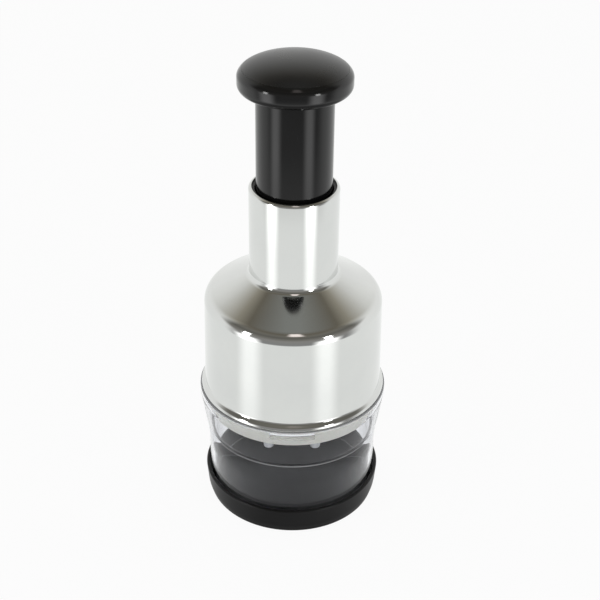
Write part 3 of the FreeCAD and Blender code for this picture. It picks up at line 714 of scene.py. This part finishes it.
# The CAD nodes that stay get their slot's material and crisp edges
slots = {row["node"]: row["material_slot"] for row in frame["record"]["subparts"]}
for name, node in nodes.items():
    dress(node.data, slots[name])


# Studio, in metres and degrees, with azimuth 0 towards the camera and 90 to its right

key_left = -57.0
key_right = 43.0
lamp_elevation = 11.0
lamp_distance = 1.1
lamp_target = 0.11
lamp_width = 0.17
lamp_height = 0.42
lamp_radiance = 8.0

floor_radius = 4.0
floor_white = 0.94    # share of plain white in what rays see of the floor

window_elevation = 60.0
window_azimuth = 5.0
glow_strength = 3.0

camera_lens = 75.0
camera_shift = 0.0113
camera_elevation = 31.42
camera_roll = 0.55
camera_distance = 0.5838
camera_target = 0.1063


def bearing(azimuth, elevation, distance):
    """Point at a distance in a direction."""
    a, e = math.radians(azimuth), math.radians(elevation)
    return Vector((math.sin(a) * math.cos(e), -math.cos(a) * math.cos(e), math.sin(e))) * distance


def make_lamp(name, azimuth):
    """Soft box that faces the chopper's middle."""
    light = bpy.data.lights.new(name, "AREA")
    light.shape = "RECTANGLE"
    light.size = lamp_width
    light.size_y = lamp_height
    light.energy = lamp_radiance * math.pi * lamp_width * lamp_height
    lamp = bpy.data.objects.new(name, light)
    bpy.context.scene.collection.objects.link(lamp)
    target = Vector((0, 0, lamp_target))
    lamp.location = target + bearing(azimuth, lamp_elevation, lamp_distance)
    lamp.rotation_mode = "QUATERNION"
    lamp.rotation_quaternion = (target - lamp.location).to_track_quat("-Z", "Y")
    lamp.visible_camera = False
    lamp.visible_transmission = False


def floor_material():
    """White to camera, glossy and transmission rays, but for the faint shadow that it keeps."""
    n = Nodes(bpy.data.materials.new("floor"))
    n.tree.nodes.remove(n.tree.nodes["Principled BSDF"])
    path = n.add("ShaderNodeLightPath").outputs
    mirrored = n.math("MAXIMUM", path["Is Glossy Ray"], path["Is Transmission Ray"])
    seen = n.math("MAXIMUM", path["Is Camera Ray"], mirrored)
    matt = n.add("ShaderNodeBsdfDiffuse", inputs={"Color": (0.95, 0.95, 0.95, 1.0)})
    glow = n.add("ShaderNodeEmission")
    mix = n.add("ShaderNodeMixShader", inputs={
        0: n.math("MULTIPLY", seen, floor_white), 1: matt.outputs[0], 2: glow.outputs[0]})
    n.tree.links.new(mix.outputs[0], n.tree.nodes["Material Output"].inputs["Surface"])
    return n.owner


def make_floor():
    bm = bmesh.new()
    bmesh.ops.create_circle(bm, cap_ends=True, segments=96, radius=floor_radius)
    mesh = bpy.data.meshes.new("floor")
    bm.to_mesh(mesh)
    bm.free()
    mesh.materials.append(floor_material())
    floor = bpy.data.objects.new("floor", mesh)
    bpy.context.scene.collection.objects.link(floor)
    floor.visible_glossy = False


def grey(value):
    return (value, value, value)


def by_elevation(n, elevation, stops):
    """Colour that changes with the elevation, from (degrees, colour) stops."""
    height = n.ranged(elevation, 0.0, 1.0, -90.0, 90.0)
    return n.ramp(height, [((degrees + 90) / 180, colour) for degrees, colour in stops])


def studio_room(n, azimuth, elevation):
    """White sheet below, dim room in front, and a pale backdrop behind that is wider at its foot."""
    sheet_light = [
        (-60, grey(0.30)), (-45, grey(0.42)), (-37, (0.97, 0.98, 0.97)), (-28, (1.0, 1.01, 1.0)),
    ]
    overhead = [
        (62, (0.16, 0.145, 0.115)), (72, (0.20, 0.195, 0.175)), (85, (0.26, 0.265, 0.25)),
    ]
    front = by_elevation(n, elevation, sheet_light + [
        (-24, grey(0.42)), (-19, grey(0.30)), (8, (0.32, 0.31, 0.30)),
        (20, (0.24, 0.23, 0.21)), (34, (0.15, 0.145, 0.13)), (48, (0.20, 0.19, 0.165)),
    ] + overhead)
    back = by_elevation(n, elevation, sheet_light + [
        (15, (1.0, 1.0, 0.99)), (26, (0.93, 0.93, 0.91)), (35, (0.80, 0.795, 0.77)),
        (44, (0.58, 0.565, 0.52)), (53, (0.34, 0.315, 0.26)),
    ] + overhead)
    low = n.math("SUBTRACT", 1.0, n.smooth(elevation, 4.0, 26.0))
    widened = n.math("ADD", n.math("ABSOLUTE", azimuth), n.math("MULTIPLY", low, 20.0))
    return n.mix(n.smooth(widened, 84.0, 112.0), front, back)


def window_share(n, azimuth, elevation):
    """1 in a small window high up in front, and 0 outside it."""
    above = n.math("ABSOLUTE", n.math("SUBTRACT", elevation, window_elevation))
    beside = n.math("ABSOLUTE", n.math("SUBTRACT", azimuth, window_azimuth))
    return n.math("MULTIPLY", n.math("SUBTRACT", 1.0, n.smooth(above, 7.0, 14.0)),
                  n.math("SUBTRACT", 1.0, n.smooth(beside, 6.0, 17.0)))


def lamp_glow(n, azimuth, elevation, middle):
    """Light that the lamp at an azimuth throws on the sheet."""
    fade = by_elevation(n, elevation, [
        (-40, grey(0.0)), (-33, grey(0.13)), (-29, grey(0.19)), (-25, grey(0.7)),
        (-8, grey(0.7)), (4, grey(0.0)),
    ])
    away = n.math("ABSOLUTE", n.math("SUBTRACT", azimuth, middle))
    near = n.math("SUBTRACT", 1.0, n.smooth(away, 3.0, 22.0))
    return n.mix(1.0, fade, n.math("MULTIPLY", near, glow_strength), "MULTIPLY")


def make_world():
    """Metal and gloss see the studio's room, and diffuse surfaces get a plain grey light.

    Whatever the camera sees directly or through clear plastic is white.
    """
    world = bpy.data.worlds.new("studio")
    bpy.context.scene.world = world
    n = Nodes(world)
    direction = n.add("ShaderNodeTexCoord").outputs["Generated"]
    x, y, z = n.add("ShaderNodeSeparateXYZ", inputs={"Vector": direction}).outputs
    to_degrees = 180 / math.pi
    elevation = n.math("MULTIPLY", n.math("ARCSINE", z), to_degrees)
    azimuth = n.math("ARCTAN2", x, n.math("MULTIPLY", y, -1.0))
    azimuth = n.math("MULTIPLY", azimuth, to_degrees)
    room = studio_room(n, azimuth, elevation)
    room = n.mix(window_share(n, azimuth, elevation), room, (1.25, 1.12, 1.08, 1.0))
    for middle in (key_left, key_right):
        room = n.mix(1.0, room, lamp_glow(n, azimuth, elevation, middle), "ADD")
    path = n.add("ShaderNodeLightPath").outputs
    straight = n.math("MAXIMUM", path["Is Camera Ray"], path["Is Transmission Ray"])
    lit = n.mix(path["Is Glossy Ray"], (0.5, 0.5, 0.5, 1.0), room)
    seen = n.mix(straight, lit, (1.0, 1.0, 1.0, 1.0))
    n.tree.links.new(seen, n.tree.nodes["Background"].inputs["Color"])


def make_camera():
    """Camera at the photograph's angle, with its slight roll and offset."""
    camera = bpy.data.cameras.new("camera")
    camera.lens = camera_lens
    camera.sensor_width = 36.0
    camera.shift_x = camera_shift
    camera.clip_start = 0.01
    camera.clip_end = 20.0
    holder = bpy.data.objects.new("camera", camera)
    bpy.context.scene.collection.objects.link(holder)
    target = Vector((0, 0, camera_target))
    holder.location = target + bearing(0.0, camera_elevation, camera_distance)
    tilt = Matrix.Rotation(math.radians(90.0 - camera_elevation), 3, "X")
    roll = Matrix.Rotation(math.radians(camera_roll), 3, "Z")
    holder.rotation_mode = "QUATERNION"
    holder.rotation_quaternion = (tilt @ roll).to_quaternion()
    bpy.context.scene.camera = holder


make_floor()
make_world()
make_lamp("key_left", key_left)
make_lamp("key_right", key_right)
make_camera()
bpy.context.scene.view_settings.view_transform = "Standard"
